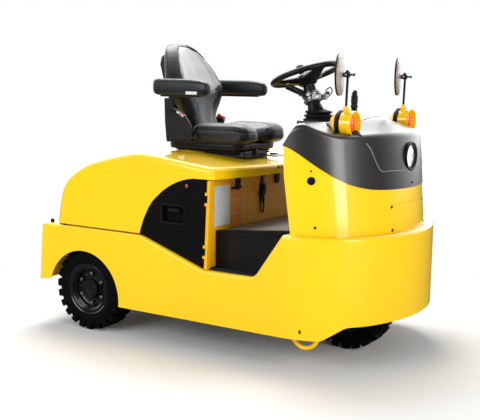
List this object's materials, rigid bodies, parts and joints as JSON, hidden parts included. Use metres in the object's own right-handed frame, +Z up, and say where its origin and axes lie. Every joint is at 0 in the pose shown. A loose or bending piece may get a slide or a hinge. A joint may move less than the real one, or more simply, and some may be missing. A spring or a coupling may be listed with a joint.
{
  "type": "airport tow tractor",
  "caption": "Three-wheeled electric tow tractor with a driver seat on a tilting hood, a step-through foot well and a rear pin coupling.",
  "frame": {"origin": "on the ground under the middle of the vehicle in length and width", "axes": "+X forward, +Y to the driver's left, +Z up"},
  "size_m": [1.7898, 1, 1.322],
  "materials": {
    "yellow_paint": "gloss enamel",
    "black_paint": "satin powder coat",
    "frame_paint": "satin powder coat",
    "cowl_plastic": "moulded",
    "black_plastic": "moulded",
    "seat_cover": "leatherette",
    "rubber": "moulded",
    "mat_rubber": "ribbed",
    "tyre_rubber": "moulded",
    "rim_paint": "satin enamel",
    "bare_steel": "machined",
    "cast_axle": "painted casting",
    "battery_case": "acid-proof paint",
    "signal_yellow": "moulded",
    "amber_lens": "moulded",
    "clear_lens": "clear",
    "lamp_shell": "moulded",
    "mirror_shell": "moulded",
    "mirror_glass": "silvered",
    "red_lens": "moulded"
  },
  "bodies": {
    "chassis": {"lower_body_shell": "yellow_paint", "chassis_frame": "frame_paint", "battery_block": "battery_case", "rear_tow_plate": "yellow_paint", "tow_coupling": "frame_paint", "coupling_pin": "bare_steel", "rear_lamps": "red_lens", "tie_down_rings": "yellow_paint", "rear_axle_housing": "cast_axle", "floor_pan": "black_paint", "floor_mats": "mat_rubber", "battery_box_front_panel": "yellow_paint", "hood_hinge_brackets": "frame_paint", "rubber_stops": "rubber", "hood_latch": "black_plastic", "front_panel": "yellow_paint", "front_access_panel": "yellow_paint", "dash_cowl": "cowl_plastic", "headlight_housing": "lamp_shell", "headlight_lens": "clear_lens", "steering_column": "black_plastic", "column_boot": "rubber", "column_levers": "black_plastic", "turn_signals": "signal_yellow", "turn_signal_lenses": "amber_lens", "mirror_arms": "black_paint", "mirrors": "mirror_shell", "mirror_glass": "mirror_glass", "parking_brake_lever": "black_plastic", "pedals": "rubber"},
    "hood": {"hood_shell": "yellow_paint", "seat_suspension": "black_plastic", "seat_cushion": "seat_cover", "seat_backrest": "seat_cover", "seat_back_shell": "black_plastic", "seat_belt": "black_plastic", "seat_slide_bar": "bare_steel"},
    "armrest_right": {"armrest_right": "seat_cover"},
    "armrest_left": {"armrest_left": "seat_cover"},
    "side_door_right": {"side_door_right": "black_paint"},
    "side_door_left": {"side_door_left": "black_paint"},
    "front_fork": {"front_fork": "frame_paint", "front_axle": "bare_steel"},
    "front_wheel": {"front_rim": "rim_paint", "front_tyre": "tyre_rubber"},
    "rear_wheel_right": {"rear_rim_right": "rim_paint", "rear_tyre_right": "tyre_rubber"},
    "rear_wheel_left": {"rear_rim_left": "rim_paint", "rear_tyre_left": "tyre_rubber"},
    "steering_wheel": {"steering_wheel": "black_plastic"}
  },
  "joints": [
    {"name": "rear_wheel_right_spin", "type": "hinge", "parent": "chassis", "child": "rear_wheel_right", "pos_m": [-0.518, -0.4115, 0.19], "axis": [0, 1, 0], "continuous": true},
    {"name": "rear_wheel_left_spin", "type": "hinge", "parent": "chassis", "child": "rear_wheel_left", "pos_m": [-0.518, 0.4115, 0.19], "axis": [0, 1, 0], "continuous": true},
    {"name": "steer", "type": "hinge", "parent": "chassis", "child": "front_fork", "pos_m": [0.582, 0, 0.43], "axis": [0, 0, 1], "range_deg": [-75, 75]},
    {"name": "front_wheel_spin", "type": "hinge", "parent": "front_fork", "child": "front_wheel", "pos_m": [0.582, 0, 0.19], "axis": [0, 1, 0], "continuous": true},
    {"name": "steering_wheel_turn", "type": "hinge", "parent": "chassis", "child": "steering_wheel", "pos_m": [0.33228, 0, 1.17467], "axis": [-0.3256, 0, 0.9455], "range_deg": [-600, 600]},
    {"name": "hood_tilt", "type": "hinge", "parent": "chassis", "child": "hood", "pos_m": [-0.705, 0, 0.49], "axis": [0, -1, 0], "range_deg": [0, 50]},
    {"name": "armrest_right_fold", "type": "hinge", "parent": "hood", "child": "armrest_right", "pos_m": [-0.295, -0.24, 1.108], "axis": [0, -1, 0], "range_deg": [0, 90]},
    {"name": "armrest_left_fold", "type": "hinge", "parent": "hood", "child": "armrest_left", "pos_m": [-0.295, 0.24, 1.108], "axis": [0, -1, 0], "range_deg": [0, 90]},
    {"name": "side_door_right_swing", "type": "hinge", "parent": "chassis", "child": "side_door_right", "pos_m": [0.14437, -0.4865, 0.55], "axis": [0.0373, 0, 0.9993], "range_deg": [0, 100]},
    {"name": "side_door_left_swing", "type": "hinge", "parent": "chassis", "child": "side_door_left", "pos_m": [0.14437, 0.4865, 0.55], "axis": [-0.0373, 0, -0.9993], "range_deg": [0, 100]}
  ],
  "couplings": [
    {"joint": "steering_wheel_turn", "follows": "steer", "ratio": 8}
  ]
}
